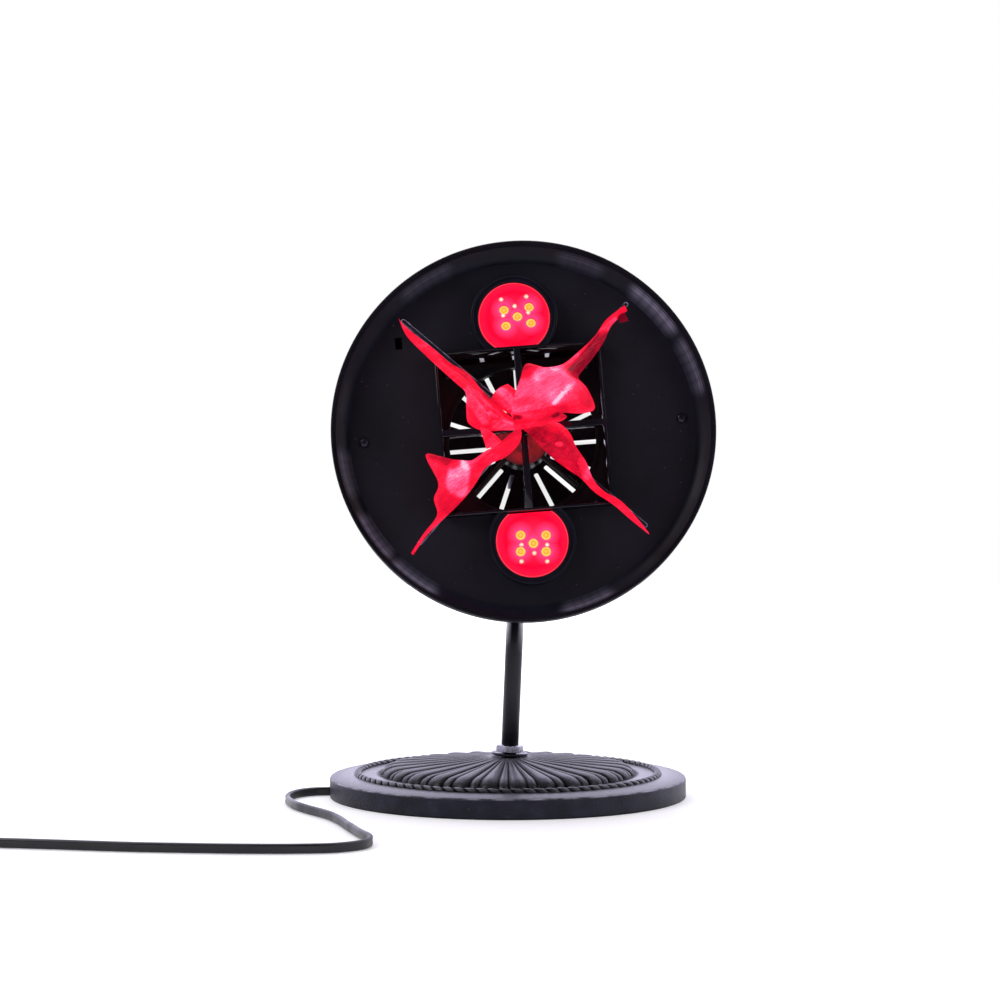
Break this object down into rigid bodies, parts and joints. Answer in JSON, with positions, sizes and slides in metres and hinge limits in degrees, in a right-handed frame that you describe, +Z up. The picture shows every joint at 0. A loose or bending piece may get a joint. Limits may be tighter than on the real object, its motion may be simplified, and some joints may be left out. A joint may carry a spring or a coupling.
{
  "type": "flame effect lamp",
  "caption": "Flame effect lamp: dished round head with a square air duct, fan, red lamps and silk flames, on a bent tube stem and a round fluted cast base.",
  "frame": {"origin": "middle of the base's underside, on the surface that the lamp stands on", "axes": "+Z up, the open face of the dish looks along -Y, +X to the right of someone who faces the dish"},
  "size_m": [0.5911, 0.4075, 0.4085],
  "materials": {
    "cast_base": "black painted casting, fine sand grain, worn lighter on the ridges",
    "brass": "plain turned brass",
    "steel": "dull zinc plate",
    "dark_steel": "dark plate",
    "cord": "black vinyl, slight sheen",
    "black_tube": "black semi-gloss paint",
    "black_plastic": "black moulding, finely grained",
    "gloss_black": "glossy black",
    "red_label": "plain red disc",
    "white_ceramic": "off-white",
    "red_silk": "thin red silk, light comes through",
    "red_filter": "clear red sheet",
    "amber_led": "amber diodes in a pale cup"
  },
  "bodies": {
    "base": {"base_casting": "cast_base", "stem_nipple": "brass", "top_washer": "dark_steel", "top_nut": "steel", "lower_washer": "steel", "lower_nut": "steel", "power_cord": "cord", "cord_coil": "cord", "cord_tail": "cord", "cord_tie": "cord", "plug_body": "cord", "plug_pin_left": "brass", "plug_pin_right": "brass"},
    "stem": {"stem_tube": "black_tube", "stem_lead": "cord", "knuckle_lower": "black_tube", "pivot_screw": "steel"},
    "knob": {"pivot_knob": "black_plastic"},
    "head": {"knuckle_upper": "black_tube", "boss_nut": "steel", "front_plate": "black_plastic", "rear_bowl": "black_plastic", "fan_frame": "black_plastic", "hub_label": "red_label", "fan_screw_upper_right": "steel", "fan_screw_upper_left": "steel", "fan_screw_lower_right": "steel", "fan_screw_lower_left": "steel", "plate_screw_right": "steel", "plate_screw_left": "steel", "power_supply": "white_ceramic", "switch_body": "black_plastic", "silk_holder": "gloss_black", "silk_flame_upper_left": "red_silk", "silk_flame_upper_right": "red_silk", "silk_flame_lower_right": "red_silk", "silk_flame_lower_left": "red_silk", "red_filter_upper": "red_filter", "red_filter_lower": "red_filter", "lamp_upper": "amber_led", "lamp_lower": "amber_led", "lamp_socket_upper": "white_ceramic", "lamp_socket_lower": "white_ceramic"},
    "fan": {"fan_rotor": "black_plastic"},
    "rocker": {"switch_rocker": "black_plastic"}
  },
  "joints": [
    {"name": "stem_swivel", "type": "hinge", "parent": "base", "child": "stem", "pos_m": [0, 0, 0], "axis": [0.0419, 0, 0.9991], "range_deg": [-90, 90]},
    {"name": "head_tilt", "type": "hinge", "parent": "stem", "child": "head", "pos_m": [0.01066, 0.087, 0.25428], "axis": [-0.9991, 0, 0.0419], "range_deg": [-3, 60]},
    {"name": "knob_turn", "type": "hinge", "parent": "stem", "child": "knob", "pos_m": [0.01066, 0.087, 0.25428], "axis": [0.9991, 0, -0.0419], "range_deg": [0, 360]},
    {"name": "fan_spin", "type": "hinge", "parent": "head", "child": "fan", "pos_m": [0.01097, 0.0295, 0.26184], "axis": [-0.0055, 0.9914, -0.1304], "continuous": true},
    {"name": "rocker_tilt", "type": "hinge", "parent": "head", "child": "rocker", "pos_m": [0.0856, 0.05645, 0.26426], "axis": [0.9969, 0.0157, 0.0774], "range_deg": [-11, 0]}
  ]
}
